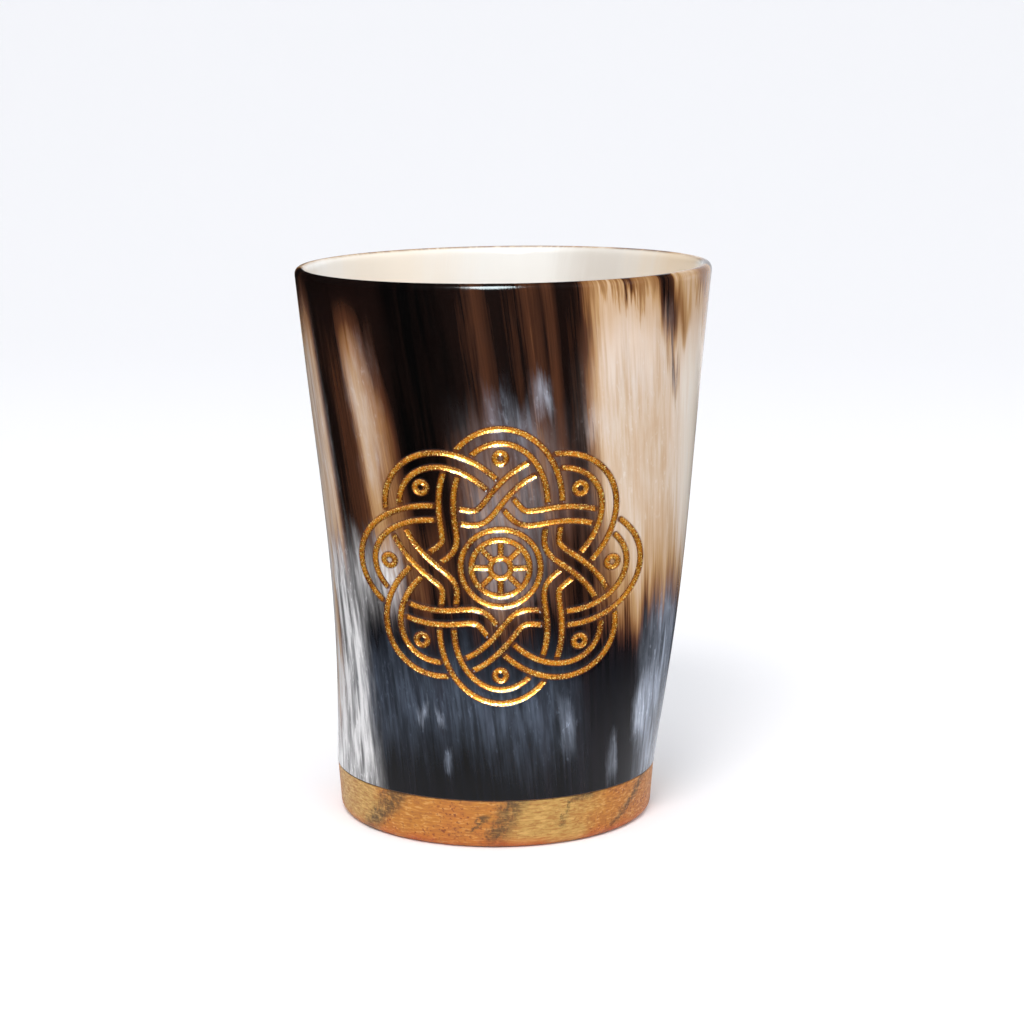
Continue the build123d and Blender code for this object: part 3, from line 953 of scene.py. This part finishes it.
class CUP_OT_resin(Operator):
    """Lay the resin: the glue film in the joint, and the bead in the corner of floor and wall"""

    bl_idname = "horn_cup.resin"
    bl_label = "Glue and Bead"

    def execute(self, context):
        base, horn = context.scene.horn_base, context.scene.horn_shape
        finish = resin_finish(context.scene.horn_finish)
        film = np.array(
            [
                (base.shoulder_radius + GLUE_PROUD, base.foot_height),
                (base.shoulder_radius + GLUE_PROUD, horn.bottom),
                (horn.socket_radius, horn.bottom),
                (horn.socket_radius, horn.ledge),
                (base.floor_radius, horn.ledge),
                (base.floor_radius, base.floor),
                (base.spigot_radius - base.spigot_chamfer, base.floor),
                (base.spigot_radius, base.floor - base.spigot_chamfer),
                (base.spigot_radius, base.foot_height),
            ]
        )
        piece = add_piece("glue_line", *lathe(film, RESIN_COLUMNS), finish)
        settle(piece, "resin", "glue_film")
        bend = np.linspace(0, np.pi / 2, BEAD_STEPS)
        hollow_radius = base.floor_radius - base.bead * (1 - np.sin(bend))
        hollow = np.stack([hollow_radius, base.floor + base.bead * (1 - np.cos(bend))], axis=1)
        key = (base.floor_radius + BEAD_KEY, base.floor + base.bead)
        profile = np.concatenate([hollow, [key, (base.floor_radius, base.floor)]])
        share = (base.floor - horn.bottom) / (horn.rim_height - horn.bottom)
        bead = lathe(profile, RESIN_COLUMNS, float(horn_centre(horn, share)))
        piece = add_piece("inner_bead", *bead, finish)
        settle(piece, "resin", "sealing_bead")
        return {"FINISHED"}


# Paper sweep: half width, front edge, where it starts to bend up and the bend's radius, then columns and rows
SWEEP_SIDE, SWEEP_FRONT, SWEEP_BACK, SWEEP_BEND = 2.2, -1.6, 0.7, 1.6
SWEEP_COLUMNS, FLAT_ROWS, BEND_ROWS = 17, 24, 33
# Gloss sees the paper dark in front of this depth and at the left, but not close round the cup
DIM_DEPTH, DIM_LEFT, DIM_AWAY = (0.58, 0.44), (0.0, -0.15), (0.04, 0.13)
FLECK_SCALE, FLECK_SHARE = 40.0, 0.02
# Gloss sees the tent dim, but for an opening straight behind the cup, in this range of a direction's Y
TENT_OPENING, TENT_DIMMING = (0.75, 1.0), 0.97
TENT_TINT = (0.94, 0.985, 1.0)
# Soft lights: place, target, width and height, tint
LIGHTS = {
    "window": ((-0.18, -0.76, 0.9), (0, 0, 0.06), (0.44, 0.44), (1, 0.985, 0.96)),
    "fill": ((0.85, -0.45, 0.5), (0, 0, 0.05), (0.8, 0.8), (1, 1, 1)),
    "glint": ((-0.1, -0.72, 0.72), (0, 0, 0.1), (0.36, 0.8), (0.8, 0.95, 1)),
}
SENSOR_WIDTH = 36  # millimetres
NEAR_CLIP = 0.01


def paper_finish(look):
    """Matt paper with faint flecks, dark in some places to gloss only."""
    finish = Finish("studio_paper")
    across, depth, _ = finish.axes()
    squares = [finish.math("POWER", value, 2.0) for value in (across, depth)]
    away = finish.math("SQRT", finish.math("ADD", *squares))
    dim = finish.math("MAXIMUM", finish.between(depth, *DIM_DEPTH), finish.between(across, *DIM_LEFT))
    dim = finish.times(dim, finish.between(away, *DIM_AWAY), finish.mirrored())
    fleck = finish.noise(finish.stretched(1, 1, 1), FLECK_SCALE)
    tint = finish.blend(finish.times(fleck, FLECK_SHARE), look.floor, look.floor_fleck)
    finish.set(Base_Color=finish.blend(dim, tint, look.floor_dim), Roughness=0.9, Specular_IOR_Level=0.1)
    return finish.material


def add_sweep(material):
    """Paper that lies flat and bends up behind the cup in a quarter circle."""
    across = np.linspace(-SWEEP_SIDE, SWEEP_SIDE, SWEEP_COLUMNS)[None, :]
    bend = np.linspace(0, np.pi / 2, BEND_ROWS)
    flat = np.linspace(SWEEP_FRONT, SWEEP_BACK, FLAT_ROWS)[:-1]
    back = np.concatenate([flat, SWEEP_BACK + SWEEP_BEND * np.sin(bend)])[:, None]
    lift = np.concatenate([0 * flat, SWEEP_BEND * (1 - np.cos(bend))])[:, None]
    points = np.stack([across + 0 * back, back + 0 * across, lift + 0 * across], axis=-1)
    quads = grid_quads(*points.shape[:2], False, False)
    sweep = add_piece("paper_sweep", points.reshape(-1, 3), quads, material)


def set_tent(scene, brightness):
    """World of even white light, dim in most directions to gloss only."""
    world = bpy.data.worlds.new("white_tent")
    scene.world = world
    world.use_nodes = True
    tent = Nodes(world.node_tree)
    place = tent.node("TexCoord").outputs["Generated"]
    behind = tent.node("SeparateXYZ", Vector=place).outputs["Y"]
    dim = tent.times(tent.between(behind, *TENT_OPENING, TENT_DIMMING, 0.0), tent.mirrored())
    glow = tent.tree.nodes["Background"].inputs
    tent.join(glow["Color"], TENT_TINT)
    tent.join(glow["Strength"], tent.math("MULTIPLY_ADD", dim, -brightness, brightness))


def soft_light(scene, name, power):
    """Soft oval light that faces its target. Only gloss sees the glint."""
    place, target, size, tint = LIGHTS[name]
    lamp = bpy.data.lights.new(name, "AREA")
    lamp.shape = "ELLIPSE"
    lamp.size, lamp.size_y = size
    lamp.energy = power
    lamp.color = tint
    light = bpy.data.objects.new(name, lamp)
    scene.collection.objects.link(light)
    across, depth, up = np.subtract(target, place)
    tip, swing = np.arctan2(np.hypot(across, depth), -up), np.arctan2(depth, across)
    light.location = place
    light.rotation_euler = (tip, 0, swing - np.pi / 2)
    light.visible_diffuse = name != "glint"


def add_camera(scene, studio):
    """Camera at the photograph's viewing angle."""
    lens = bpy.data.cameras.new("camera")
    lens.sensor_fit = "HORIZONTAL"
    lens.sensor_width = SENSOR_WIDTH
    lens.lens = studio.camera_lens
    lens.clip_start = NEAR_CLIP
    camera = bpy.data.objects.new("camera", lens)
    scene.collection.objects.link(camera)
    camera.location = studio.camera_place
    camera.rotation_euler = (np.pi / 2 - studio.camera_pitch, 0, 0)
    scene.camera = camera


class CUP_OT_studio(Operator):
    """Set up the studio: pale paper, a white tent, three soft lights and the camera"""

    bl_idname = "horn_cup.studio"
    bl_label = "Studio"

    def execute(self, context):
        scene = context.scene
        studio = scene.horn_studio
        add_sweep(paper_finish(scene.horn_finish))
        set_tent(scene, studio.tent)
        for name in LIGHTS:
            soft_light(scene, name, getattr(studio, name + "_power"))
        add_camera(scene, studio)
        scene.view_settings.view_transform = "Standard"
        return {"FINISHED"}


class CUP_PT_panel(Panel):
    """Lists the cup's steps in the sidebar"""

    bl_idname = "CUP_PT_panel"
    bl_label = "Horn Cup"
    bl_space_type = "VIEW_3D"
    bl_region_type = "UI"
    bl_category = "Horn Cup"

    def draw(self, context):
        for step in STEPS:
            self.layout.operator(step.bl_idname)


GROUPS = {
    "horn_shape": HornShape,
    "horn_knot": KnotShape,
    "horn_base": BaseShape,
    "horn_finish": CupFinish,
    "horn_studio": StudioLook,
}
STEPS = (CUP_OT_studio, CUP_OT_horn, CUP_OT_gilt, CUP_OT_base, CUP_OT_resin)


def register():
    for name, group in GROUPS.items():
        bpy.utils.register_class(group)
        setattr(bpy.types.Scene, name, PointerProperty(type=group))
    for kind in (*STEPS, CUP_PT_panel):
        bpy.utils.register_class(kind)


def unregister():
    for kind in (CUP_PT_panel, *reversed(STEPS)):
        bpy.utils.unregister_class(kind)
    for name, group in GROUPS.items():
        delattr(bpy.types.Scene, name)
        bpy.utils.unregister_class(group)


def main():
    register()
    for step in STEPS:
        group, name = step.bl_idname.split(".")
        getattr(getattr(bpy.ops, group), name)()


if __name__ == "__main__":
    main()
